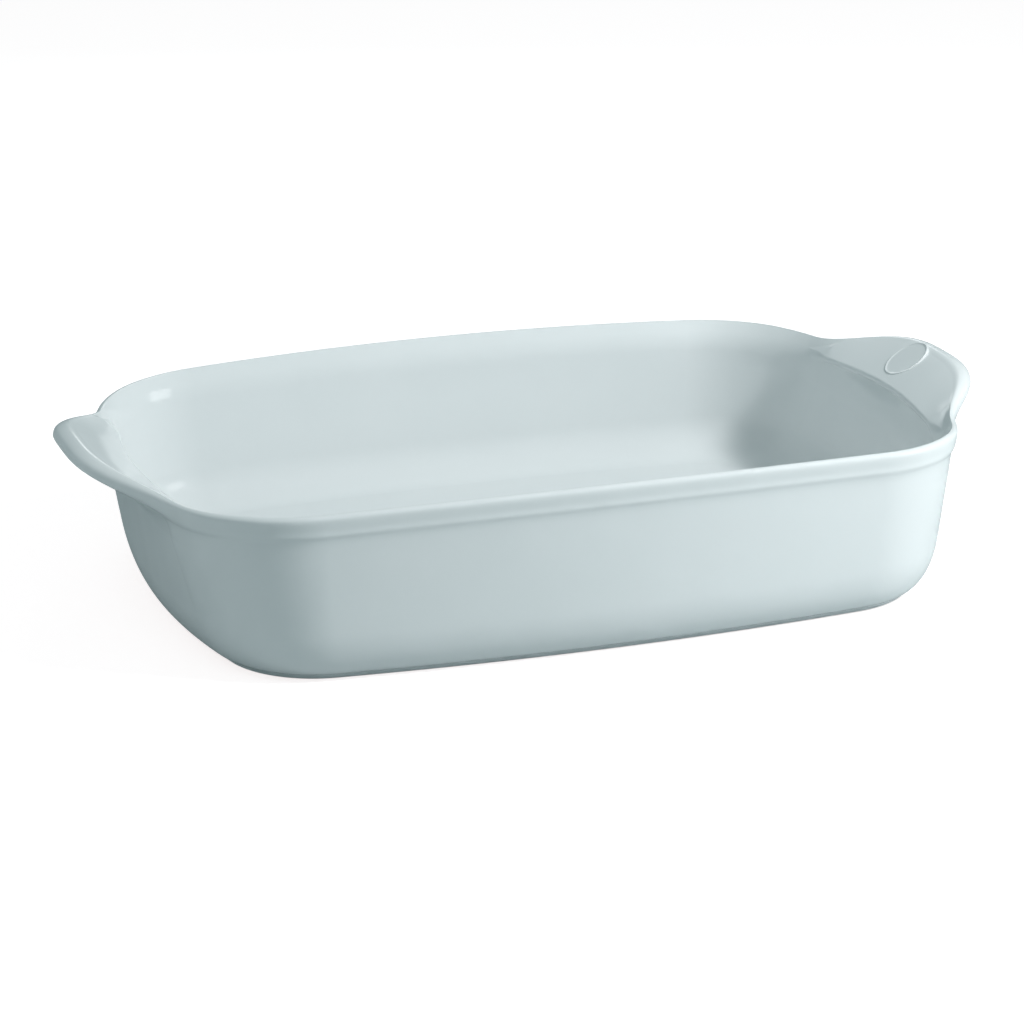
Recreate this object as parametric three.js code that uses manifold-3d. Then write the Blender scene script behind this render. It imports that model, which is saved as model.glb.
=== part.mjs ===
// A rectangular stoneware baking dish with bowed sides, a rolled rim and two broad lug handles.
// Millimetres, +Z up. The origin is the middle of the standing face, +X runs along the dish.
import * as THREE from "three";
import Module from "manifold-3d";

const wasm = await Module();
wasm.setup();

// The rim's outline at its crest, without the handles.
const RIM_LENGTH = 364;
const RIM_WIDTH = 249.4;
const RIM_HEIGHT = 73.2; // crest at the corners
const RIM_CROWN = 4; // how much higher the crest stands half way along a long side
const RIM_CORNER_RADIUS = 62.4;
const RIM_LONG_BOW = 14.2; // how far a long side bulges over its own length
const RIM_SHORT_BOW = 7.4;

// The drafted wall, carried straight down to the table.
const BASE_LENGTH = 348.3;
const BASE_WIDTH = 245.5;
const BASE_CORNER_RADIUS = 51.7;
const BASE_LONG_BOW = 13.2;
const BASE_SHORT_BOW = 23.2;
const WALL_THICKNESS = 6;
const FLOOR_THICKNESS = 7;
const FLOOR_FILLET = 18; // radius inside, where the wall meets the floor
const HEEL_HEIGHT = 22.4; // the outer wall curves in below this height
const HEEL_INSET = 9.3; // and has come in by this much at the foot
const BASE_SEAT_RISE = 1; // straight wall on the base above its curves

// The low standing ring under the floor.
const FOOT_HEIGHT = 2.2;
const FOOT_WIDTH = 7;
const FOOT_SETBACK = 0.3; // from the lower end of the heel to the foot
const FOOT_BEVEL = 0.7;

// The rolled rim: it flares outwards inside and swells to a band outside.
const FLARE_DEPTH = 9.2; // from the crest to where the inner wall turns outwards
const FLARE_BEND = 5; // height of inner wall that bends softly into the flare
const FLARE_BEND_SHARE = 0.4; // of the flare that belongs to the bend
const CREST_CURVE = 1.15; // 1 is a flat slope up to the crest, more is rounder
const BROW_SHARE = 0.85; // of that slope, where the rounding over the crest begins
const LIP_RADIUS = 2.27; // of the rim's rounded edge
const BAND_SWELL = 1.14; // how far the band stands out from the rim's outline
const BAND_EDGE = 6.2; // from the crest to where the band turns in
const BAND_UNDERCUT = 0.4; // how far it has come in there
const BAND_FULLNESS = 0.4; // of the turn, over a straight line
const BAND_HEIGHT = 11.3; // from the crest to the groove under the band
const GROOVE_START = 0.9; // share of the way from brow to groove where its soft bend begins
const GROOVE_RUNOUT = 4.5; // how far below the groove the bend ends on the wall
const RIM_DEPTH = 20; // from the crest at the corners to the seat on the wall

// The lug handles: at each end the crest swings out and up, and the flare gives way to a broad pad.
const HANDLE_REACH = 22.8; // of the handle's crest past the rim's crest
const HANDLE_REACH_SPAN = 156.7; // length of rim over which the crest swings out
const HANDLE_REACH_FLATNESS = 3.5; // more is flatter in the middle of the span
const HANDLE_REACH_SOFTNESS = 3.4; // more is a longer run-out at both ends of the span
const HANDLE_RISE = 11; // of the handle's crest over the dipped rim
const HANDLE_RISE_SPAN = 162.9;
const HANDLE_RISE_FLATNESS = 2.9;
const HANDLE_RISE_SOFTNESS = 2.8;
const HANDLE_DIP = 0.9; // how far the rim dips where a handle begins
const HANDLE_DIP_SPAN = 222;
const HANDLE_DIP_FLATNESS = 6;
const HANDLE_DIP_SOFTNESS = 2;
const PAD_SPAN = 123; // the pad's length along the rim
const PAD_SLANT = 9; // how much further the pad runs at its ridge than at its crest
const PAD_FOLD = 3; // length over which each end of the pad folds down to the flare, at its crest
const PAD_RIDGE_FOLD = 9; // and at its ridge
const RIDGE_DEPTH = 6.2; // from the rim's crest to the ridge along the pad's inner edge, at its ends
const RIDGE_ARCH = 1.8; // how much higher the ridge lies half way along
const RIDGE_BOW = 4; // and how much further out
const RIDGE_FLATNESS = 2;
const RIDGE_SOFTNESS = 1.5;
const ROLL_RADIUS = 2; // of the ridge, which is rolled
const ROLL_BULGE = 0.7; // how far its ends stand in from the inner wall
const ROLL_UNDER = 35; // degrees below level, where the roll leaves the wall
const ROLL_OVER = 57; // degrees above level, where the pad begins
const LIP_WIDTH = 6.6; // from the handle's crest to its widest point: a broad rounded lip
const LIP_DROP = 3.4; // and how much lower that point lies
const LIP_HEIGHT = 5.8; // from the handle's crest to the lip's lower corner
const LIP_UNDERCUT = 1.6; // how far that corner lies inside the widest point
const UNDERSIDE_DROP = 15.1; // from the rim's crest to where the handle's underside meets the wall
const UNDERSIDE_ARCH = 3.5; // how far the underside arches above a straight slope

// The blank oval badge on the right handle's pad: a flat plate, raised most at its inner end.
const OVAL_ACROSS = 23;
const OVAL_LENGTH = 22; // along the rim
const OVAL_RISE = 1; // of its middle over a straight line from the pad's inner edge to its brow
const OVAL_TILT = 2.5; // degrees
const OVAL_THICKNESS = 2.4;
const OVAL_PLACE = 0.65; // share of the way along that line
const OVAL_SHIFT = 7; // along the rim from the handle's middle
const OVAL_BORDER = 1.5; // width of the raised edge round the sunk face
const OVAL_SINK = 0.3;
const SEAT_CLEARANCE = 0.3;

// How finely the curves are divided.
const SHORT_STEPS = 12; // half a short side, closest at the ends of the pad
const CORNER_STEPS = 12;
const LONG_STEPS = 5; // half a long side
const CORNER_CROWDING = 1.5; // more sets the steps closer where a corner meets the short side
const HEEL_STEPS = 5;
const FILLET_STEPS = 5;
const LEAD_STEPS = 3;
const ROLL_STEPS = 4;
const PAD_STEPS = 6;
const BAND_STEPS = 8;
const GROOVE_STEPS = 3;
const OVAL_STEPS = 36;

const floorTop = FOOT_HEIGHT + FLOOR_THICKNESS;
const baseTop = Math.max(HEEL_HEIGHT, floorTop + FLOOR_FILLET) + BASE_SEAT_RISE;
const wallTop = RIM_HEIGHT - RIM_DEPTH;

const rimShape = {
  length: RIM_LENGTH,
  width: RIM_WIDTH,
  corner: RIM_CORNER_RADIUS,
  longBow: RIM_LONG_BOW,
  shortBow: RIM_SHORT_BOW,
};
const baseShape = {
  length: BASE_LENGTH,
  width: BASE_WIDTH,
  corner: BASE_CORNER_RADIUS,
  longBow: BASE_LONG_BOW,
  shortBow: BASE_SHORT_BOW,
};

const mix = THREE.MathUtils.lerp;

// The wall's outline at a height, between the base outline on the table and the rim outline at the crest.
function wallShape(z) {
  const share = z / RIM_HEIGHT;
  const shape = {};
  for (const key of Object.keys(rimShape)) {
    shape[key] = mix(baseShape[key], rimShape[key], share);
  }
  return shape;
}

// Half a side's bow gives the radius of its arc.
function bowRadius(half, bow) {
  return (half * half + bow * bow) / (2 * bow);
}

// Points and outward normals round a bowed rectangle of tangent arcs, anticlockwise from +X.
function outline({ length, width, corner, longBow, shortBow }) {
  const longRadius = bowRadius(length / 2, longBow);
  const shortRadius = bowRadius(width / 2, shortBow);
  const longCentre = new THREE.Vector2(0, width / 2 - longRadius);
  const shortCentre = new THREE.Vector2(length / 2 - shortRadius, 0);
  const toLong = longRadius - corner;
  const toShort = shortRadius - corner;
  const gap = longCentre.distanceTo(shortCentre);
  const along = (toLong ** 2 - toShort ** 2 + gap ** 2) / (2 * gap);
  const across = Math.sqrt(toLong ** 2 - along ** 2);
  const line = shortCentre.clone().sub(longCentre).normalize();
  const cornerCentre = new THREE.Vector2(line.y, -line.x)
    .multiplyScalar(across)
    .addScaledVector(line, along)
    .add(longCentre);
  const cornerStart = cornerCentre.clone().sub(shortCentre).angle();
  const cornerEnd = cornerCentre.clone().sub(longCentre).angle();
  const quarter = [];
  const addArc = (centre, radius, from, to, steps, pace) => {
    for (let i = 0; i < steps; i++) {
      const angle = mix(from, to, pace(i / steps));
      const normal = new THREE.Vector2(Math.cos(angle), Math.sin(angle));
      quarter.push({ point: normal.clone().multiplyScalar(radius).add(centre), normal });
    }
  };
  const slowing = (share) => Math.sin((share * Math.PI) / 2);
  const quickening = (share) => share ** CORNER_CROWDING;
  const even = (share) => share;
  addArc(shortCentre, shortRadius, 0, cornerStart, SHORT_STEPS, slowing);
  addArc(cornerCentre, corner, cornerStart, cornerEnd, CORNER_STEPS, quickening);
  addArc(longCentre, longRadius, cornerEnd, Math.PI / 2, LONG_STEPS, even);
  const normal = new THREE.Vector2(0, 1);
  quarter.push({ point: new THREE.Vector2(0, width / 2), normal });
  const mirrored = (list, x, y) =>
    list.map((s) => {
      const turn = new THREE.Vector2(x, y);
      return { point: s.point.clone().multiply(turn), normal: s.normal.clone().multiply(turn) };
    });
  const forward = quarter.slice(0, -1);
  const backward = quarter.slice(1).reverse();
  return [
    ...mirrored(forward, 1, 1),
    ...mirrored(backward, -1, 1),
    ...mirrored(forward, -1, -1),
    ...mirrored(backward, 1, -1),
  ];
}

// One closed ring of the wall at a height, moved outwards by offset.
function wallRing(z, offset = 0) {
  return outline(wallShape(z)).map(
    ({ point, normal }) =>
      new THREE.Vector3(point.x + normal.x * offset, point.y + normal.y * offset, z),
  );
}

const crest = outline(rimShape);
const stations = crest.length;

// Signed length of rim from the middle of the nearer end to each station, positive towards +Y.
const rimRun = crest.map(() => 0);
const quarterSteps = SHORT_STEPS + CORNER_STEPS + LONG_STEPS;
for (let i = 1; i <= quarterSteps; i++) {
  const step = crest[i].point.distanceTo(crest[i - 1].point);
  const run = rimRun[i - 1] + step;
  rimRun[i] = run;
  rimRun[2 * quarterSteps - i] = run;
  rimRun[(2 * quarterSteps + i) % stations] = -run;
  rimRun[(4 * quarterSteps - i) % stations] = -run;
}

// A smooth hump over a span: 1 in the middle, 0 at both ends.
function hump(run, span, flatness, softness) {
  const share = Math.min(Math.abs(run) / (span / 2), 1);
  return (1 - share ** flatness) ** softness;
}

// How far the crest of a handle has swung out, risen and dipped at a length of rim from the end's middle.
function handleGrowth(run) {
  return {
    reach: hump(run, HANDLE_REACH_SPAN, HANDLE_REACH_FLATNESS, HANDLE_REACH_SOFTNESS),
    rise: hump(run, HANDLE_RISE_SPAN, HANDLE_RISE_FLATNESS, HANDLE_RISE_SOFTNESS),
    dip: hump(run, HANDLE_DIP_SPAN, HANDLE_DIP_FLATNESS, HANDLE_DIP_SOFTNESS),
  };
}

// How much of the surface is pad and not flare, a share of the way out from ridge to crest.
function padShare(run, share) {
  const end = PAD_SPAN / 2 + (0.5 - share) * PAD_SLANT;
  const fold = mix(PAD_RIDGE_FOLD, PAD_FOLD, share) / 2;
  return 1 - THREE.MathUtils.smoothstep(Math.abs(run), end - fold, end + fold);
}

// A slope between two points that rounds off at its upper end.
function slope(from, to, share) {
  return new THREE.Vector2(
    mix(from.x, to.x, share),
    mix(from.y, to.y, 1 - (1 - share) ** CREST_CURVE),
  );
}

// How far the wall's outer edge under the rim lies outside the rim's outline at each station.
const seatFace = wallRing(wallTop).map(({ x, y }, i) => {
  const { point, normal } = crest[i];
  return (x - point.x) * normal.x + (y - point.y) * normal.y;
});

// The ring where rim and wall meet, moved outwards by offset.
function seatRing(offset = 0) {
  return crest.map(({ point, normal }, i) => {
    const out = seatFace[i] + offset;
    return new THREE.Vector3(point.x + normal.x * out, point.y + normal.y * out, wallTop);
  });
}
const seatOutside = seatRing();
const seatInside = seatRing(-WALL_THICKNESS);

// A point on the wall's outer face above its seat, moved outwards by offset.
function onWall(i, z, offset = 0) {
  return new THREE.Vector2((seatFace[i] * (RIM_HEIGHT - z)) / RIM_DEPTH + offset, z);
}

// The open section of rim or handle at a station, from the inner wall over the crest to the outer wall.
// x is the distance outwards from the rim's outline, y the height.
function rimSection(i) {
  const run = rimRun[i];
  const { reach, rise, dip } = handleGrowth(run);
  const level = RIM_HEIGHT + RIM_CROWN * (1 - (crest[i].point.x / (RIM_LENGTH / 2)) ** 2);
  const dipped = level - HANDLE_DIP * dip;
  const top = new THREE.Vector2(
    BAND_SWELL - LIP_RADIUS + HANDLE_REACH * reach,
    dipped + HANDLE_RISE * rise,
  );

  const flareFoot = onWall(i, dipped - FLARE_DEPTH, -WALL_THICKNESS);
  const bendStart = onWall(i, flareFoot.y - FLARE_BEND, -WALL_THICKNESS);
  const bendEnd = slope(flareFoot, top, FLARE_BEND_SHARE);
  const bend = new THREE.QuadraticBezierCurve(bendStart, flareFoot, bendEnd);
  const middle = hump(run, PAD_SPAN + PAD_SLANT, RIDGE_FLATNESS, RIDGE_SOFTNESS);
  const ridge = onWall(i, dipped - RIDGE_DEPTH, ROLL_RADIUS - ROLL_BULGE - WALL_THICKNESS);
  ridge.x += RIDGE_BOW * middle;
  ridge.y += RIDGE_ARCH * middle;
  const onRoll = (degrees) => {
    const turn = THREE.MathUtils.degToRad(degrees);
    return new THREE.Vector2(-Math.cos(turn), Math.sin(turn)).multiplyScalar(ROLL_RADIUS).add(ridge);
  };
  const onEdge = (share) => {
    const roll = onRoll(mix(-ROLL_UNDER, ROLL_OVER, share));
    return bend.getPoint(mix(1 / ROLL_STEPS, 1, share)).lerp(roll, padShare(run, 0));
  };
  const seat = onWall(i, wallTop, -WALL_THICKNESS);
  const lead = new THREE.QuadraticBezierCurve(seat, bendStart, onEdge(0));
  const points = [];
  for (let k = 1; k < LEAD_STEPS; k++) {
    points.push(lead.getPoint(k / LEAD_STEPS));
  }
  for (let k = 0; k < ROLL_STEPS; k++) {
    points.push(onEdge(k / ROLL_STEPS));
  }
  const onSlope = (share) => {
    const flare = slope(flareFoot, top, mix(FLARE_BEND_SHARE, 1, share));
    const pad = slope(onRoll(ROLL_OVER), top, share);
    return flare.lerp(pad, padShare(run, share));
  };
  for (let k = 0; k < PAD_STEPS; k++) {
    points.push(onSlope((BROW_SHARE * k) / PAD_STEPS));
  }

  const lipWidth = mix(LIP_RADIUS, LIP_WIDTH, reach);
  const lipDrop = mix(LIP_RADIUS, LIP_DROP, reach);
  const edge = new THREE.Vector2(
    top.x + lipWidth - mix(BAND_UNDERCUT, LIP_UNDERCUT, reach),
    top.y - mix(BAND_EDGE, LIP_HEIGHT, reach),
  );
  const groove = onWall(i, level - mix(BAND_HEIGHT, UNDERSIDE_DROP, reach));
  const under = edge.clone().lerp(groove, 0.5);
  under.x += mix(BAND_FULLNESS, 0, reach);
  under.y += UNDERSIDE_ARCH * reach;
  const outside = new THREE.SplineCurve([
    onSlope(BROW_SHARE),
    top,
    new THREE.Vector2(top.x + lipWidth * Math.SQRT1_2, top.y - lipDrop * (1 - Math.SQRT1_2)),
    new THREE.Vector2(top.x + lipWidth, top.y - lipDrop),
    edge,
    under,
    groove,
  ]);
  for (let k = 0; k < BAND_STEPS; k++) {
    points.push(outside.getPoint((GROOVE_START * k) / BAND_STEPS));
  }
  const runout = new THREE.QuadraticBezierCurve(
    outside.getPoint(GROOVE_START),
    groove,
    onWall(i, groove.y - GROOVE_RUNOUT),
  );
  points.push(...runout.getPoints(GROOVE_STEPS));
  return points;
}

// Every station's closed section in space: its seat on the wall, then the open section.
const rimSections = crest.map(({ point, normal }, i) => [
  seatInside[i],
  ...rimSection(i).map(
    (p) => new THREE.Vector3(point.x + normal.x * p.x, point.y + normal.y * p.x, p.y),
  ),
  seatOutside[i],
]);

// A geometry from points and triangles.
function geometryOf(points, triangles) {
  const geometry = new THREE.BufferGeometry().setFromPoints(points);
  geometry.setIndex(triangles);
  geometry.computeVertexNormals();
  return geometry;
}

// Skins neighbouring rows of points, each row closed on itself.
function skinRows(rows, triangles) {
  const width = rows[0].length;
  for (let r = 0; r + 1 < rows.length; r++) {
    for (let c = 0; c < width; c++) {
      const a = r * width + c;
      const b = r * width + ((c + 1) % width);
      triangles.push(a, b, b + width, a, b + width, a + width);
    }
  }
}

// A solid of rings stacked from the middle of its underside to the middle of its upper side.
function bowl(rings, bottomZ, topZ) {
  const points = rings.flat();
  const triangles = [];
  skinRows(rings, triangles);
  const width = rings[0].length;
  const bottom = points.push(new THREE.Vector3(0, 0, bottomZ)) - 1;
  const top = points.push(new THREE.Vector3(0, 0, topZ)) - 1;
  const last = (rings.length - 1) * width;
  for (let c = 0; c < width; c++) {
    const next = (c + 1) % width;
    triangles.push(bottom, next, c);
    triangles.push(top, last + c, last + next);
  }
  return geometryOf(points, triangles);
}

// A solid of rings that close on themselves like a hoop.
function hoop(rings) {
  const triangles = [];
  skinRows([...rings, rings[0]], triangles);
  const count = rings.length * rings[0].length;
  return geometryOf(
    rings.flat(),
    triangles.map((index) => index % count),
  );
}

// A solid lofted through closed sections from one station to another, with a flat cap at each end.
function rimLength(first, last) {
  const rows = [];
  for (let i = first; i <= last; i++) {
    rows.push(rimSections[(i + stations) % stations]);
  }
  const triangles = [];
  skinRows(rows, triangles);
  for (const [row, turned] of [
    [0, false],
    [rows.length - 1, true],
  ]) {
    const start = row * rows[0].length;
    for (const face of capFaces(first + row)) {
      const [a, b, c] = face.map((index) => index + start);
      triangles.push(a, turned ? c : b, turned ? b : c);
    }
  }
  return geometryOf(rows.flat(), triangles);
}

// Triangles that fill the section at a station, facing back along the rim.
function capFaces(station) {
  const i = (station + stations) % stations;
  const { point, normal } = crest[i];
  const flat = rimSections[i].map(
    (p) => new THREE.Vector2((p.x - point.x) * normal.x + (p.y - point.y) * normal.y, p.z),
  );
  return THREE.ShapeUtils.triangulateShape(flat, []);
}

// Solids for cuts and joins.
function solidOf(geometry) {
  return new wasm.Manifold(
    new wasm.Mesh({
      numProp: 3,
      vertProperties: geometry.getAttribute("position").array,
      triVerts: new Uint32Array(geometry.index.array),
    }),
  );
}

function geometryOfSolid(solid) {
  const { vertProperties, triVerts } = solid.getMesh();
  const geometry = new THREE.BufferGeometry();
  geometry.setAttribute("position", new THREE.BufferAttribute(vertProperties, 3));
  geometry.setIndex(new THREE.BufferAttribute(triVerts, 1));
  geometry.computeVertexNormals();
  return geometry;
}

// The floor with its curved lower edge, up to a flat seat for the wall.
function makeBase() {
  const rings = [];
  for (let k = 0; k <= HEEL_STEPS; k++) {
    const turn = (1 - k / HEEL_STEPS) * (Math.PI / 2);
    const z = mix(HEEL_HEIGHT, FOOT_HEIGHT, Math.sin(turn));
    rings.push(wallRing(z, -HEEL_INSET * (1 - Math.cos(turn))));
  }
  rings.push(wallRing(baseTop), wallRing(baseTop, -WALL_THICKNESS));
  for (let k = 0; k <= FILLET_STEPS; k++) {
    const turn = (k / FILLET_STEPS) * (Math.PI / 2);
    const z = floorTop + FLOOR_FILLET * (1 - Math.sin(turn));
    rings.push(wallRing(z, -WALL_THICKNESS - FLOOR_FILLET * (1 - Math.cos(turn))));
  }
  return bowl(rings, FOOT_HEIGHT, floorTop);
}

// The drafted side between the base and the rim.
function makeWall() {
  const middle = (baseTop + wallTop) / 2;
  return hoop([
    wallRing(baseTop),
    wallRing(middle),
    seatOutside,
    seatInside,
    wallRing(middle, -WALL_THICKNESS),
    wallRing(baseTop, -WALL_THICKNESS),
  ]);
}

// The standing ring, bevelled where it meets the table.
function makeFoot() {
  const ring = (offset, z) =>
    wallRing(FOOT_HEIGHT, offset).map((p) => new THREE.Vector3(p.x, p.y, z));
  const outer = -HEEL_INSET - FOOT_SETBACK;
  const inner = outer - FOOT_WIDTH;
  return hoop([
    ring(outer - FOOT_BEVEL, 0),
    ring(outer, FOOT_BEVEL),
    ring(outer, FOOT_HEIGHT),
    ring(inner, FOOT_HEIGHT),
    ring(inner, FOOT_BEVEL),
    ring(inner + FOOT_BEVEL, 0),
  ]);
}

// Where the oval's flat top lies on the right handle's pad, with +Z out of it and +X along the rim.
function ovalFrame() {
  const near = crest.findIndex((_, i) => rimRun[i] >= OVAL_SHIFT);
  const between = (OVAL_SHIFT - rimRun[near - 1]) / (rimRun[near] - rimRun[near - 1]);
  const onPad = (row) => rimSections[near - 1][row].clone().lerp(rimSections[near][row], between);
  const firstOnPad = LEAD_STEPS + ROLL_STEPS;
  const edge = onPad(firstOnPad);
  const brow = onPad(firstOnPad + PAD_STEPS);
  const alongRim = new THREE.Vector3(-crest[near].normal.y, crest[near].normal.x, 0);
  const up = brow.clone().sub(edge).cross(alongRim).normalize();
  const middle = edge.lerp(brow, OVAL_PLACE).addScaledVector(up, OVAL_RISE);
  up.applyAxisAngle(alongRim, -THREE.MathUtils.degToRad(OVAL_TILT));
  const across = new THREE.Vector3().crossVectors(up, alongRim);
  return new THREE.Matrix4().makeBasis(alongRim, across, up).setPosition(middle);
}

// The oval and the handle that it is set into.
function setOval(handleGeometry) {
  const frame = ovalFrame();
  const disc = (grow, bottom, top) => {
    const shape = new THREE.Shape();
    shape.absellipse(0, 0, OVAL_LENGTH / 2 + grow, OVAL_ACROSS / 2 + grow, 0, 2 * Math.PI);
    const ring = shape.getSpacedPoints(OVAL_STEPS).slice(0, -1);
    const rows = [bottom, top].map((z) => ring.map((p) => new THREE.Vector3(p.x, p.y, z)));
    return solidOf(bowl(rows, bottom, top).applyMatrix4(frame));
  };
  const oval = disc(0, -OVAL_THICKNESS, 0).subtract(disc(-OVAL_BORDER, -OVAL_SINK, OVAL_THICKNESS));
  const pocket = disc(SEAT_CLEARANCE, -OVAL_THICKNESS - SEAT_CLEARANCE, HANDLE_RISE);
  const handle = solidOf(handleGeometry).subtract(pocket);
  return { oval: geometryOfSolid(oval), handle: geometryOfSolid(handle) };
}

const glaze = new THREE.MeshStandardMaterial({ color: 0xd3e0e1, roughness: 0.18, metalness: 0 });
const foot = new THREE.MeshStandardMaterial({ color: 0xc9d3d2, roughness: 0.45, metalness: 0 });

// A handle ends at the station where its crest has come back to the rim.
const handleEnd = rimRun.findIndex((run) => run >= HANDLE_REACH_SPAN / 2);
const half = 2 * quarterSteps;
const right = setOval(rimLength(-handleEnd, handleEnd));

const dish = new THREE.Group();
function add(name, geometry, material) {
  const mesh = new THREE.Mesh(geometry, material);
  mesh.name = name;
  dish.add(mesh);
}
add("foot_ring", makeFoot(), foot);
add("base", makeBase(), glaze);
add("wall", makeWall(), glaze);
add("rim_back", rimLength(handleEnd, half - handleEnd), glaze);
add("rim_front", rimLength(half + handleEnd, 2 * half - handleEnd), glaze);
add("handle_left", rimLength(half - handleEnd, half + handleEnd), glaze);
add("handle_right", right.handle, glaze);
add("handle_oval", right.oval, glaze);

export default dish;
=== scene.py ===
import math

import bpy
import numpy as np
from mathutils import Matrix, Vector


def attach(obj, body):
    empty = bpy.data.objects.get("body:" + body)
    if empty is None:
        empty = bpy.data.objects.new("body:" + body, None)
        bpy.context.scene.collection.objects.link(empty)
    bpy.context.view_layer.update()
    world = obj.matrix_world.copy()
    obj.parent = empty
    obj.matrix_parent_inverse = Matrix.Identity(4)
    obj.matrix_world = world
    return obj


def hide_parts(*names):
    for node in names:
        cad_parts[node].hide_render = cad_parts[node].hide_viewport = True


# A rectangular glazed baking dish with bowed sides, a rolled rim and two broad lug handles.
# Sizes of the dish are millimetres, as on the part itself, and become metres where a mesh is made.
# The lamps, the sweep and the height of a material's relief are in metres.
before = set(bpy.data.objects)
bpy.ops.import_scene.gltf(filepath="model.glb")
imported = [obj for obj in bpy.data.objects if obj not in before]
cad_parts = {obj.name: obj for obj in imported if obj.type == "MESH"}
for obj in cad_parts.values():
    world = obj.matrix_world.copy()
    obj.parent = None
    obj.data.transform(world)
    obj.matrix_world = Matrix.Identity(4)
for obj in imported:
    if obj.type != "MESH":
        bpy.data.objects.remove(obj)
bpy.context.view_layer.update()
MILLIMETRE = 0.001
QUARTER_TURN = math.pi / 2

# The rim's outline at its crest, and the drafted wall carried straight down to the table.
RIM = dict(length=364, width=249.4, corner=62.4, long_bow=14.2, short_bow=7.4)
BASE = dict(length=348.3, width=245.5, corner=51.7, long_bow=13.2, short_bow=23.2)
RIM_HEIGHT = 73.2
RIM_CROWN = 4
WALL_THICKNESS = 6
FLOOR_THICKNESS = 7
FLOOR_FILLET = 18
HEEL_HEIGHT = 22.4
HEEL_INSET = 9.3
BASE_SEAT_RISE = 1
FOOT_HEIGHT = 2.2
FOOT_WIDTH = 7
FOOT_SETBACK = 0.3
FOOT_BEVEL = 0.7
FOOT_SHARP = math.radians(40)

# The rolled rim.
FLARE_DEPTH = 9.2
FLARE_BEND = 5
FLARE_BEND_SHARE = 0.4
CREST_CURVE = 1.15
BROW_SHARE = 0.85
LIP_RADIUS = 2.27
BAND_SWELL = 1.14
BAND_EDGE = 6.2
BAND_UNDERCUT = 0.4
BAND_FULLNESS = 0.4
BAND_HEIGHT = 11.3
GROOVE_START = 0.9
GROOVE_RUNOUT = 4.5
RIM_DEPTH = 20

# The handles: each hump is a span of rim, a flatness and a softness.
HANDLE_REACH = 22.8
REACH_HUMP = (156.7, 3.5, 3.4)
HANDLE_RISE = 11
RISE_HUMP = (162.9, 2.9, 2.8)
HANDLE_DIP = 0.9
DIP_HUMP = (222, 6, 2)
PAD_SPAN = 123
PAD_SLANT = 9
PAD_FOLD = 3
PAD_RIDGE_FOLD = 24
FOLD_TIGHT_SHARE = 0.5
RIDGE_DEPTH = 6.2
RIDGE_ARCH = 1.8
RIDGE_BOW = 4
RIDGE_HUMP = (PAD_SPAN + PAD_SLANT, 2, 1.5)
ROLL_RADIUS = 2
ROLL_BULGE = 0.7
ROLL_UNDER = math.radians(35)
ROLL_OVER = math.radians(57)
LIP_WIDTH = 6.6
LIP_DROP = 3.4
LIP_HEIGHT = 5.8
LIP_UNDERCUT = 1.6
UNDERSIDE_DROP = 15.1
UNDERSIDE_ARCH = 3.5

# The blank oval badge on the right handle.
OVAL_ACROSS = 23
OVAL_LENGTH = 22
OVAL_RISE = 1
OVAL_TILT = math.radians(2.5)
OVAL_THICKNESS = 2.4
OVAL_PLACE = 0.65
OVAL_SHIFT = 7
OVAL_BORDER = 1.5
OVAL_FACE_INSET = 2 * OVAL_BORDER
OVAL_SINK = 0.3
OVAL_ROUND = 0.45
OVAL_SHARP = math.radians(50)

# How finely the surface is divided. The seat's shares are heights between seat and groove.
SHORT_STEPS = 84
CORNER_STEPS = 64
LONG_STEPS = 36
FLOOR_STEPS = 14
FILLET_STEPS = 18
LEAD_STEPS = 8
ROLL_STEPS = 12
PAD_STEPS = 30
BAND_STEPS = 36
GROOVE_STEPS = 10
SEAT_SHARES = (0.93, 0.8, 0.5)
HEEL_STEPS = 18
ROUND_STEPS = 5
BORDER_STEPS = 7
OVAL_STEPS = 120

# The two ceramic skins: patches mix the two colours, and relief is the bump's own pattern.
GLAZE = dict(
    colours=((0.698, 0.734, 0.741, 1), (0.734, 0.763, 0.769, 1)),
    patches=dict(scale=16, detail=3, roughness=0.5),
    roughness=0.12,
    relief=dict(scale=30, detail=1, roughness=0.4),
    strength=0.25,
    height=0.0015,
)
# The foot's duller glaze: its colours are painted lighter than the body's glaze, painted light that
# lifts the shade where the foot meets the table.
FOOT_GLAZE_PAINTED_LIGHTER = dict(
    colours=((0.76, 0.795, 0.8, 1), (0.84, 0.885, 0.89, 1)),
    patches=dict(scale=60, detail=4, roughness=0.6),
    roughness=0.45,
    relief=dict(scale=600, detail=2, roughness=0.5),
    strength=0.3,
    height=0.0002,
)
GLAZE_IOR = 1.5

# The studio. Only the window and the back lamp show in the glaze's reflections.
SWEEP_HALF = 8
PAPER_COLOUR = (0.55, 0.592, 0.6, 1)
PAPER_ROUGHNESS = 0.9
PAPER_FILL_COLOUR = (1, 0.93, 0.92, 1)
PAPER_FILL = 0.8
ROOM_COLOUR = (0.262, 0.334, 0.346, 1)
WHITE = (1, 1, 1, 1)
LIGHT_AIM = (0, 0, 0.04)
LIGHTS = (
    dict(name="key", place=(0.6, -0.54, 0.74), size=(0.18, 0.18), watts=8.6, in_gloss=False),
    dict(name="fill", place=(-0.9, 0, 0.7), size=(0.8, 0.6), watts=1.6, in_gloss=False),
    dict(name="window", place=(1.08, -0.56, 0.34), size=(0.55, 0.55), watts=2.5, in_gloss=True),
    dict(name="back", place=(0.4, 1.1, 0.4), size=(0.6, 0.2), watts=0.55, in_gloss=True),
)

# The camera: degrees round and above the dish, and the pixel where the frame's origin appears.
# The focus is in pixels and the sensor is the usual 36 mm.
PICTURE = 1024
CAMERA_AZIMUTH = -18.949
CAMERA_ELEVATION = 19.197
CAMERA_ROLL = 0.344
CAMERA_DISTANCE = 1553.383
CAMERA_FOCUS = 3402.722
ORIGIN_PIXEL = (523.371, 566.826)
SENSOR = 36

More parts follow.
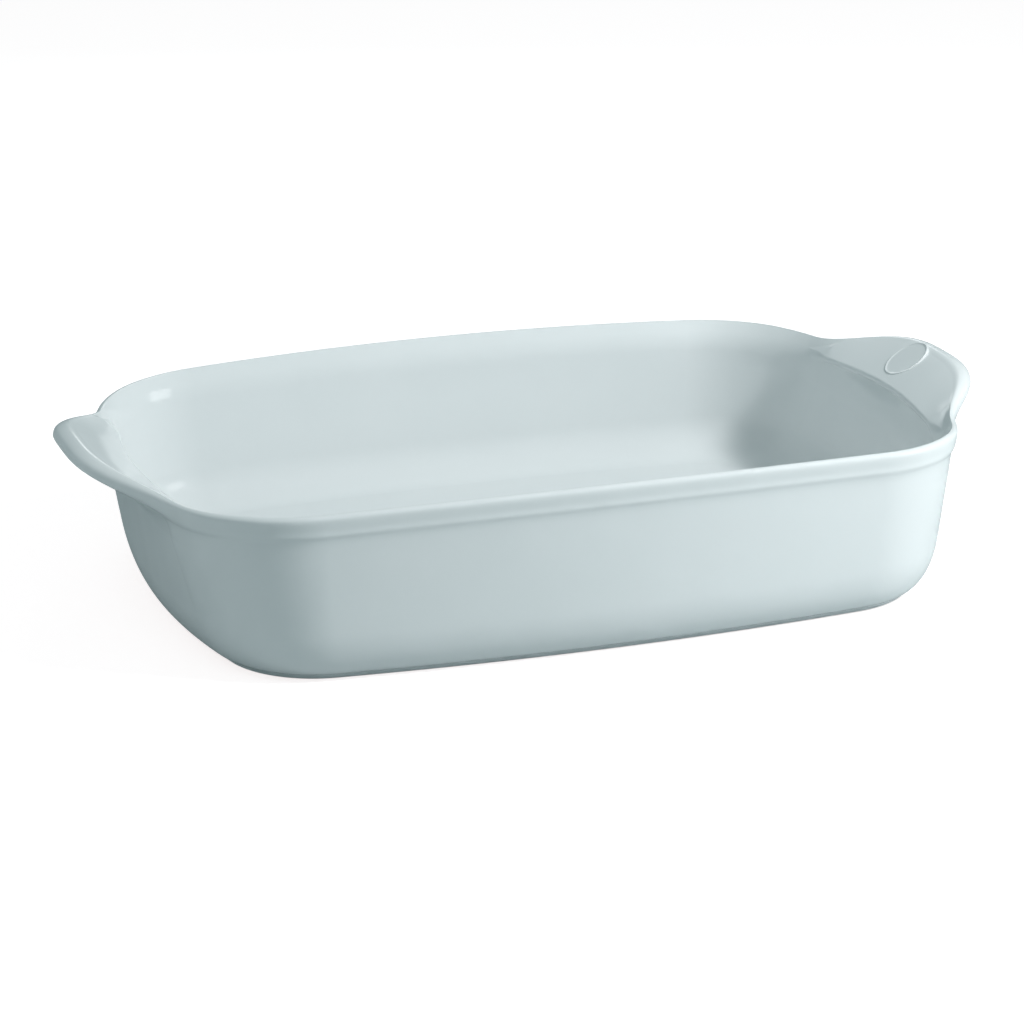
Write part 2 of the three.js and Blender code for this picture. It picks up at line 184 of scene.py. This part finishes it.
floor_top = FOOT_HEIGHT + FLOOR_THICKNESS
base_top = max(HEEL_HEIGHT, floor_top + FLOOR_FILLET) + BASE_SEAT_RISE
wall_top = RIM_HEIGHT - RIM_DEPTH


def mix(a, b, share):
    return a + (b - a) * share


def smooth(x):
    x = np.clip(x, 0, 1)
    return x * x * (3 - 2 * x)


def bow_radius(half, bow):
    """The radius of an arc from half its chord and its height."""
    return (half * half + bow * bow) / (2 * bow)


def mirrored(quarter):
    """A quarter of a ring and its mirror images, as one closed ring."""
    forward = quarter[:-1]
    backward = quarter[:0:-1]
    return np.concatenate([forward, backward * [-1, 1], -forward, backward * [1, -1]])


def outline(shape):
    """Points and outward normals round a bowed rectangle of tangent arcs, anticlockwise from +X."""
    corner = shape["corner"]
    long_radius = bow_radius(shape["length"] / 2, shape["long_bow"])
    short_radius = bow_radius(shape["width"] / 2, shape["short_bow"])
    long_centre = np.array([0, shape["width"] / 2 - long_radius])
    short_centre = np.array([shape["length"] / 2 - short_radius, 0])
    to_long = long_radius - corner
    to_short = short_radius - corner
    line = short_centre - long_centre
    gap = np.hypot(*line)
    line = line / gap
    along = (to_long**2 - to_short**2 + gap**2) / (2 * gap)
    across = math.sqrt(to_long**2 - along**2)
    corner_centre = long_centre + line * along + np.array([line[1], -line[0]]) * across
    from_short = corner_centre - short_centre
    from_long = corner_centre - long_centre
    start = math.atan2(from_short[1], from_short[0])
    end = math.atan2(from_long[1], from_long[0])
    arcs = (
        (short_centre, short_radius, 0, start, SHORT_STEPS),
        (corner_centre, corner, start, end, CORNER_STEPS),
        (long_centre, long_radius, end, QUARTER_TURN, LONG_STEPS),
    )
    points, normals = [], []
    for centre, radius, first, last, steps in arcs:
        angle = mix(first, last, np.arange(steps) / steps)
        normal = np.stack([np.cos(angle), np.sin(angle)], 1)
        points.append(centre + normal * radius)
        normals.append(normal)
    points.append([[0, shape["width"] / 2]])
    normals.append([[0, 1]])
    return mirrored(np.concatenate(points)), mirrored(np.concatenate(normals))


def wall_ring(z, offset=0):
    """The wall's outline at a height, moved outwards."""
    share = z / RIM_HEIGHT
    points, normals = outline({key: mix(BASE[key], RIM[key], share) for key in RIM})
    return np.column_stack([points + normals * offset, np.full(len(points), z)])


# Stations round the rim, and each one's distance along the rim from the middle of its handle.
crest, crest_normal = outline(RIM)
stations = len(crest)
quarter = stations // 4
steps_along = np.hypot(*np.diff(crest[: quarter + 1], axis=0).T)
quarter_run = np.concatenate([[0], np.cumsum(steps_along)])
rim_run = np.concatenate(
    [quarter_run[:-1], quarter_run[:0:-1], -quarter_run[:-1], -quarter_run[:0:-1]]
)


def hump(span, flatness, softness):
    """1 in the middle of a handle and 0 at both ends of the span, at every station."""
    share = np.minimum(np.abs(rim_run) / (span / 2), 1)
    return (1 - share**flatness) ** softness


def pad_share(share):
    """How much of the surface is pad and not flare, a share of the way from ridge to crest."""
    end = PAD_SPAN / 2 + (0.5 - share) * PAD_SLANT
    fold = mix(PAD_RIDGE_FOLD, PAD_FOLD, min(1, share / FOLD_TIGHT_SHARE))
    return 1 - smooth((np.abs(rim_run) - end) / fold + 0.5)[:, None]


def slope(start, end, share):
    """A slope between two points of every station that rounds off at its upper end."""
    return mix(start, end, np.array([share, 1 - (1 - share) ** CREST_CURVE]))


def bend(start, corner, end, share):
    """A point of the smooth bend that leaves and arrives along the two lines to its corner."""
    return mix(mix(start, corner, share), mix(corner, end, share), share)


# How far outside the crest's outline the wall's outer face is, where rim and wall meet.
seat_face = np.sum((wall_ring(wall_top)[:, :2] - crest) * crest_normal, 1)


def seat_ring(offset=0):
    """The ring where rim and wall meet, moved outwards."""
    ring = crest + crest_normal * (seat_face + offset)[:, None]
    return np.column_stack([ring, np.full(stations, wall_top)])


inner_seat = seat_ring(-WALL_THICKNESS)
outer_seat = seat_ring()


def on_wall(z, offset=0):
    """The wall's outer face above its seat, at each station's own height, moved outwards."""
    return np.column_stack([seat_face * (RIM_HEIGHT - z) / RIM_DEPTH + offset, z])


def spline(knots, share):
    """A point of the uniform Catmull-Rom curve through the knots of every station."""
    knots = [knots[0], *knots, knots[-1]]
    spans = len(knots) - 3
    i = min(int(spans * share), spans - 1)
    t = spans * share - i
    a, b, c, d = knots[i : i + 4]
    rise, fall = (c - a) / 2, (d - b) / 2
    cubic = 2 * b - 2 * c + rise + fall
    square = 3 * c - 3 * b - 2 * rise - fall
    return cubic * t**3 + square * t**2 + rise * t + b


def rim_rows():
    """Rows of the rim and handles from the inner wall over the crest to the outer wall."""
    reach = hump(*REACH_HUMP)
    level = RIM_HEIGHT + RIM_CROWN * (1 - (crest[:, 0] / (RIM["length"] / 2)) ** 2)
    dipped = level - HANDLE_DIP * hump(*DIP_HUMP)
    top_out = BAND_SWELL - LIP_RADIUS + HANDLE_REACH * reach
    top = np.column_stack([top_out, dipped + HANDLE_RISE * hump(*RISE_HUMP)])

    flare_foot = on_wall(dipped - FLARE_DEPTH, -WALL_THICKNESS)
    bend_start = on_wall(flare_foot[:, 1] - FLARE_BEND, -WALL_THICKNESS)
    bend_end = slope(flare_foot, top, FLARE_BEND_SHARE)
    ridge = on_wall(dipped - RIDGE_DEPTH, ROLL_RADIUS - ROLL_BULGE - WALL_THICKNESS)
    ridge = ridge + hump(*RIDGE_HUMP)[:, None] * [RIDGE_BOW, RIDGE_ARCH]

    def on_roll(turn):
        return ridge + ROLL_RADIUS * np.array([-math.cos(turn), math.sin(turn)])

    def on_slope(share):
        flare = slope(flare_foot, top, mix(FLARE_BEND_SHARE, 1, share))
        return mix(flare, slope(on_roll(ROLL_OVER), top, share), pad_share(share))

    def on_edge(share):
        flare = bend(bend_start, flare_foot, bend_end, mix(1 / ROLL_STEPS, 1, share))
        return mix(flare, on_roll(mix(-ROLL_UNDER, ROLL_OVER, share)), pad_share(0))

    seat = on_wall(np.full(stations, wall_top), -WALL_THICKNESS)
    rows = [bend(seat, bend_start, on_edge(0), k / LEAD_STEPS) for k in range(1, LEAD_STEPS)]
    rows += [on_edge(k / ROLL_STEPS) for k in range(ROLL_STEPS)]
    rows += [on_slope(BROW_SHARE * k / PAD_STEPS) for k in range(PAD_STEPS)]

    wide = mix(LIP_RADIUS, LIP_WIDTH, reach)
    drop = mix(LIP_RADIUS, LIP_DROP, reach)
    undercut = mix(BAND_UNDERCUT, LIP_UNDERCUT, reach)
    edge = top + np.column_stack([wide - undercut, -mix(BAND_EDGE, LIP_HEIGHT, reach)])
    groove_height = level - mix(BAND_HEIGHT, UNDERSIDE_DROP, reach)
    groove = on_wall(groove_height)
    fullness = np.column_stack([mix(BAND_FULLNESS, 0, reach), UNDERSIDE_ARCH * reach])
    belly = (edge + groove) / 2 + fullness
    diagonal = math.sqrt(0.5)
    shoulder = top + np.column_stack([wide * diagonal, -drop * (1 - diagonal)])
    widest = top + np.column_stack([wide, -drop])
    knots = [on_slope(BROW_SHARE), top, shoulder, widest, edge, belly, groove]
    rows += [spline(knots, GROOVE_START * k / BAND_STEPS) for k in range(BAND_STEPS)]
    runout = on_wall(groove_height - GROOVE_RUNOUT)
    for share in np.linspace(0, 1, GROOVE_STEPS + 1):
        rows.append(bend(spline(knots, GROOVE_START), groove, runout, share))
    return [np.column_stack([crest + crest_normal * row[:, :1], row[:, 1]]) for row in rows]


def between(first, last, shares):
    return [mix(first, last, share) for share in shares]


# The whole skin as rows of rings, from the middle of the floor inside to the middle underneath.
inner_fillet = [
    wall_ring(
        floor_top + FLOOR_FILLET * (1 - math.sin(turn)),
        -WALL_THICKNESS - FLOOR_FILLET * (1 - math.cos(turn)),
    )
    for turn in np.linspace(QUARTER_TURN, 0, FILLET_STEPS + 1)
]
heel = [
    wall_ring(mix(HEEL_HEIGHT, FOOT_HEIGHT, math.sin(turn)), -HEEL_INSET * (1 - math.cos(turn)))
    for turn in np.linspace(0, QUARTER_TURN, HEEL_STEPS + 1)
]
floor_shares = np.arange(1, FLOOR_STEPS) / FLOOR_STEPS
rim = rim_rows()
sections = {
    "floor": between(inner_fillet[0] * [0, 0, 1], inner_fillet[0], floor_shares) + inner_fillet,
    "inner_wall": [wall_ring(base_top, -WALL_THICKNESS)],
    "rim": [inner_seat] + rim + between(outer_seat, rim[-1], SEAT_SHARES) + [outer_seat],
    "outer_wall": [wall_ring(base_top)],
    "heel": heel + between(heel[-1] * [0, 0, 1], heel[-1], floor_shares[::-1]),
}
row_of = {}
skin = []
for section, rows in sections.items():
    row_of[section] = len(skin)
    skin += rows
skin = np.array(skin)
index = np.arange(skin[..., 0].size).reshape(skin.shape[:2])
last_row = len(skin) - 1
inside_middle = index.size
underneath_middle = index.size + 1
points = np.concatenate(
    [skin.reshape(-1, 3), [[0, 0, floor_top]], [[0, 0, FOOT_HEIGHT]]]
)


def quads(first_row, last_row, first=0, last=stations):
    """Faces between rows and between stations, facing out of the clay."""
    low = index[first_row:last_row]
    high = index[first_row + 1 : last_row + 1]
    here = np.arange(first, last) % stations
    there = (here + 1) % stations
    corners = [low[:, here], high[:, here], high[:, there], low[:, there]]
    return np.stack([corner.ravel() for corner in corners], 1).tolist()


def fan(middle, row, turned):
    """Triangles from a middle point to a row."""
    ring = index[row].tolist()
    pairs = zip(ring, ring[1:] + ring[:1])
    return [[middle, b, a] if turned else [middle, a, b] for a, b in pairs]


def seam(row, other, first=0, last=stations):
    """Flat hidden faces between two rows, where one piece is seated on the next."""
    here = np.arange(first, last) % stations
    there = (here + 1) % stations
    ring = [index[row, here], index[other, here], index[other, there], index[row, there]]
    return np.stack(ring, 1).tolist()


# The whole skin's normals, weighted by area, so that no seam shows between the pieces.
every_quad = np.array(quads(0, last_row))
corners = points[every_quad]
facing = np.cross(corners[:, 2] - corners[:, 0], corners[:, 3] - corners[:, 1])
normals = np.zeros_like(points)
for corner in every_quad.T:
    np.add.at(normals, corner, facing)
normals[inside_middle] = (0, 0, 1)
normals[underneath_middle] = (0, 0, -1)
normals /= np.linalg.norm(normals, axis=1, keepdims=True)


def finish_piece(name, mesh, node, material):
    """Puts a mesh in the scene as a piece in the place of its node."""
    piece = bpy.data.objects.new(name, mesh)
    bpy.context.scene.collection.objects.link(piece)
    mesh.materials.append(material)
    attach(piece, "root")
    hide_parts(node)
    return piece


def skin_piece(name, node, smooth_faces, hidden_faces):
    """One closed piece of the skin, with the whole skin's normals on its visible faces."""
    faces = smooth_faces + hidden_faces
    used = sorted({corner for face in faces for corner in face})
    place = {corner: i for i, corner in enumerate(used)}
    mesh = bpy.data.meshes.new(name)
    mesh.from_pydata(
        (points[used] * MILLIMETRE).tolist(), [], [[place[c] for c in face] for face in faces]
    )
    for polygon in mesh.polygons:
        polygon.use_smooth = polygon.index < len(smooth_faces)
    # A normal of zero leaves a hidden face its own.
    corner_normals = [normals[c] for face in smooth_faces for c in face]
    corner_normals += [(0, 0, 0) for face in hidden_faces for c in face]
    mesh.normals_split_custom_set(corner_normals)
    piece = finish_piece(name, mesh, node, glaze)


def rim_piece(name, node, first, last):
    """A stretch of rim from one station to another, closed by its seat and two flat ends."""
    inner = row_of["rim"]
    outer = row_of["outer_wall"] - 1
    ends = index[inner : outer + 1, [first % stations, last % stations]].T.tolist()
    hidden = seam(outer, inner, first, last) + [ends[0][::-1], ends[1]]
    skin_piece(name, node, quads(inner, outer, first, last), hidden)


def socket(node, name, value):
    node.inputs[name].default_value = value


def new_material(name):
    material = bpy.data.materials.new(name)
    material.use_nodes = True
    nodes = material.node_tree.nodes
    return material, nodes, material.node_tree.links, nodes["Principled BSDF"]


def noise(nodes, links, scale, detail, roughness):
    """The value of a noise texture over the object."""
    place = nodes.new("ShaderNodeTexCoord")
    texture = nodes.new("ShaderNodeTexNoise")
    socket(texture, "Scale", scale)
    socket(texture, "Detail", detail)
    socket(texture, "Roughness", roughness)
    links.new(place.outputs["Object"], texture.inputs["Vector"])
    return texture.outputs["Fac"]


def mix_colours(nodes, links, colours, factor, target):
    """Leads a mix of two colours into a shader's colour."""
    tint = nodes.new("ShaderNodeMix")
    tint.data_type = "RGBA"
    tint.inputs["A"].default_value, tint.inputs["B"].default_value = colours
    links.new(factor, tint.inputs["Factor"])
    links.new(tint.outputs["Result"], target)


def make_mottled(name, colours, patches, roughness, relief, strength, height):
    """A ceramic skin whose colour wanders between two tones, with a low relief of its own."""
    material, nodes, links, shader = new_material(name)
    mix_colours(
        nodes, links, colours, noise(nodes, links, **patches), shader.inputs["Base Color"]
    )
    socket(shader, "Roughness", roughness)
    socket(shader, "IOR", GLAZE_IOR)
    bump = nodes.new("ShaderNodeBump")
    socket(bump, "Strength", strength)
    socket(bump, "Distance", height)
    links.new(noise(nodes, links, **relief), bump.inputs["Height"])
    links.new(bump.outputs["Normal"], shader.inputs["Normal"])
    return material


def make_paper():
    """A pale sweep: plain paper, filled up to white only where the camera sees it."""
    material, nodes, links, shader = new_material("white_sweep")
    socket(shader, "Base Color", PAPER_COLOUR)
    socket(shader, "Roughness", PAPER_ROUGHNESS)
    socket(shader, "Specular IOR Level", 0)
    socket(shader, "Emission Color", PAPER_FILL_COLOUR)
    path = nodes.new("ShaderNodeLightPath")
    fill = nodes.new("ShaderNodeMath")
    fill.operation = "MULTIPLY"
    fill.inputs[1].default_value = PAPER_FILL
    links.new(path.outputs["Is Camera Ray"], fill.inputs[0])
    links.new(fill.outputs["Value"], shader.inputs["Emission Strength"])
    return material


# A pale blue-green gloss glaze, and a duller glaze on the foot whose colours are painted lighter
# than the body's glaze, painted light against the shade under the heel.
glaze = make_mottled("pale_gloss_glaze", **GLAZE)
foot_material = make_mottled("foot_glaze_painted_lighter", **FOOT_GLAZE_PAINTED_LIGHTER)

# The pieces, each in the place of its own node.
base_faces = fan(inside_middle, 0, False) + quads(0, row_of["inner_wall"])
base_faces += quads(row_of["outer_wall"], last_row) + fan(underneath_middle, last_row, True)
base_seam = seam(row_of["inner_wall"], row_of["outer_wall"])
skin_piece("glazed_floor", "base", base_faces, base_seam)
wall_faces = quads(row_of["inner_wall"], row_of["rim"])
wall_faces += quads(row_of["outer_wall"] - 1, row_of["outer_wall"])
wall_hidden = seam(row_of["rim"], row_of["outer_wall"] - 1)
wall_hidden += [face[::-1] for face in base_seam]
skin_piece("glazed_wall", "wall", wall_faces, wall_hidden)

handle_end = int(np.argmax(rim_run >= REACH_HUMP[0] / 2))
half = 2 * quarter
rim_piece("back_rim", "rim_back", handle_end, half - handle_end)
rim_piece("front_rim", "rim_front", half + handle_end, stations - handle_end)
rim_piece("left_lug", "handle_left", half - handle_end, half + handle_end)
rim_piece("right_lug", "handle_right", -handle_end, handle_end)


def rounding(radius):
    """Steps round an edge from side to face: how far in, and how far short of the face."""
    turns = np.linspace(0, QUARTER_TURN, ROUND_STEPS + 1)
    return [(radius * (1 - math.cos(turn)), radius * (1 - math.sin(turn))) for turn in turns]


def make_foot():
    """The low standing ring, with its lower edges rounded over."""
    outer = -HEEL_INSET - FOOT_SETBACK
    inner = outer - FOOT_WIDTH
    bevel = rounding(FOOT_BEVEL)
    profile = [(inner, FOOT_HEIGHT), (outer, FOOT_HEIGHT)]
    profile += [(outer - across, z) for across, z in bevel]
    profile += [(inner + across, z) for across, z in bevel[::-1]]
    rings = []
    for offset, z in profile:
        ring = wall_ring(FOOT_HEIGHT, offset)
        ring[:, 2] = z
        rings.append(ring)
    faces = []
    for k in range(len(rings)):
        low = k * stations
        high = (k + 1) % len(rings) * stations
        for i in range(stations):
            j = (i + 1) % stations
            faces.append((low + i, high + i, high + j, low + j))
    mesh = bpy.data.meshes.new("foot")
    mesh.from_pydata((np.concatenate(rings) * MILLIMETRE).tolist(), [], faces)
    mesh.shade_smooth()
    mesh.set_sharp_from_angle(angle=FOOT_SHARP)
    piece = finish_piece("foot", mesh, "foot_ring", foot_material)


make_foot()


def make_badge():
    """The blank oval: a flat plate let into the pad, with a rounded border round a sunk face."""
    first_on_pad = row_of["rim"] + LEAD_STEPS + ROLL_STEPS
    station = np.interp(OVAL_SHIFT, quarter_run, np.arange(quarter + 1))
    near = int(station)

    def on_pad(row):
        return Vector(mix(skin[row, near], skin[row, near + 1], station - near))

    along = Vector((-crest_normal[near][1], crest_normal[near][0], 0))
    edge = on_pad(first_on_pad)
    brow = on_pad(first_on_pad + PAD_STEPS)
    up = (brow - edge).cross(along).normalized()
    middle = edge.lerp(brow, OVAL_PLACE) + up * OVAL_RISE
    up.rotate(Matrix.Rotation(-OVAL_TILT, 3, along))
    across = up.cross(along)

    # Insets from the oval's edge and heights over its border, from the underside to the face.
    levels = [(0, -OVAL_THICKNESS)]
    levels += [(inset, -depth) for inset, depth in rounding(OVAL_ROUND)]
    for share in np.linspace(0, 1, BORDER_STEPS + 1)[1:]:
        levels.append((mix(OVAL_ROUND, OVAL_BORDER, share), -OVAL_SINK * float(smooth(share))))
    levels.append((OVAL_FACE_INSET, -OVAL_SINK))

    def spot(inset, height, angle):
        a = (OVAL_LENGTH / 2 - inset) * math.cos(angle)
        b = (OVAL_ACROSS / 2 - inset) * math.sin(angle)
        return middle + along * a + across * b + up * height

    angles = np.arange(OVAL_STEPS) / OVAL_STEPS * 2 * math.pi
    spots = [spot(inset, height, angle) * MILLIMETRE for inset, height in levels for angle in angles]
    faces = []
    for low in range(0, len(spots) - OVAL_STEPS, OVAL_STEPS):
        high = low + OVAL_STEPS
        for i in range(OVAL_STEPS):
            j = (i + 1) % OVAL_STEPS
            faces.append((low + i, low + j, high + j, high + i))
    faces.append(tuple(range(len(spots) - OVAL_STEPS, len(spots))))
    faces.append(tuple(range(OVAL_STEPS - 1, -1, -1)))
    mesh = bpy.data.meshes.new("badge")
    mesh.from_pydata(spots, [], faces)
    mesh.shade_smooth()
    mesh.set_sharp_from_angle(angle=OVAL_SHARP)
    piece = finish_piece("badge", mesh, "handle_oval", glaze)


make_badge()


def make_stage():
    """The paper that the dish stands on."""
    mesh = bpy.data.meshes.new("sweep")
    square = [(-1, -1), (1, -1), (1, 1), (-1, 1)]
    mesh.from_pydata([(x * SWEEP_HALF, y * SWEEP_HALF, 0) for x, y in square], [], [(0, 1, 2, 3)])
    mesh.materials.append(make_paper())
    sweep = bpy.data.objects.new("sweep", mesh)
    bpy.context.scene.collection.objects.link(sweep)


make_stage()


def add_light(name, place, size, watts, in_gloss):
    """A lamp aimed at the dish, which may or may not show in the glaze's reflections."""
    lamp = bpy.data.lights.new(name, "AREA")
    lamp.shape = "RECTANGLE"
    lamp.size, lamp.size_y = size
    lamp.energy = watts
    light = bpy.data.objects.new(name, lamp)
    light.location = place
    light.visible_camera = False
    light.visible_glossy = in_gloss
    to_aim = Vector(LIGHT_AIM) - Vector(place)
    light.rotation_euler = to_aim.to_track_quat("-Z", "Y").to_euler()
    bpy.context.scene.collection.objects.link(light)


for settings in LIGHTS:
    add_light(**settings)


def make_world():
    """White where the camera looks past the sweep, and a grey room for everything else."""
    world = bpy.data.worlds.new("studio")
    world.use_nodes = True
    nodes, links = world.node_tree.nodes, world.node_tree.links
    background = nodes["Background"]
    path = nodes.new("ShaderNodeLightPath")
    seen = path.outputs["Is Camera Ray"]
    mix_colours(nodes, links, (ROOM_COLOUR, WHITE), seen, background.inputs["Color"])
    socket(background, "Strength", 1)
    bpy.context.scene.world = world


make_world()


def make_camera():
    """The photograph's view: its direction, then turned so that the origin meets its pixel."""
    azimuth = math.radians(CAMERA_AZIMUTH)
    elevation = math.radians(CAMERA_ELEVATION)
    back = Vector(
        (
            math.sin(azimuth) * math.cos(elevation),
            -math.cos(azimuth) * math.cos(elevation),
            math.sin(elevation),
        )
    )
    facing_origin = back.to_track_quat("Z", "Y").to_matrix()
    aside = (ORIGIN_PIXEL[0] - PICTURE / 2) / CAMERA_FOCUS
    below = (ORIGIN_PIXEL[1] - PICTURE / 2) / CAMERA_FOCUS
    to_origin = Vector((aside, -below, -1))
    aim = to_origin.rotation_difference(Vector((0, 0, -1))).to_matrix()
    roll = Matrix.Rotation(math.radians(CAMERA_ROLL), 3, "Z")
    turn = facing_origin @ aim @ roll.transposed()
    camera_data = bpy.data.cameras.new("camera")
    camera_data.sensor_width = SENSOR
    camera_data.lens = CAMERA_FOCUS / PICTURE * SENSOR
    camera = bpy.data.objects.new("camera", camera_data)
    camera.matrix_world = Matrix.Translation(back * CAMERA_DISTANCE * MILLIMETRE) @ turn.to_4x4()
    bpy.context.scene.collection.objects.link(camera)
    bpy.context.scene.camera = camera


make_camera()
bpy.context.scene.view_settings.view_transform = "Standard"
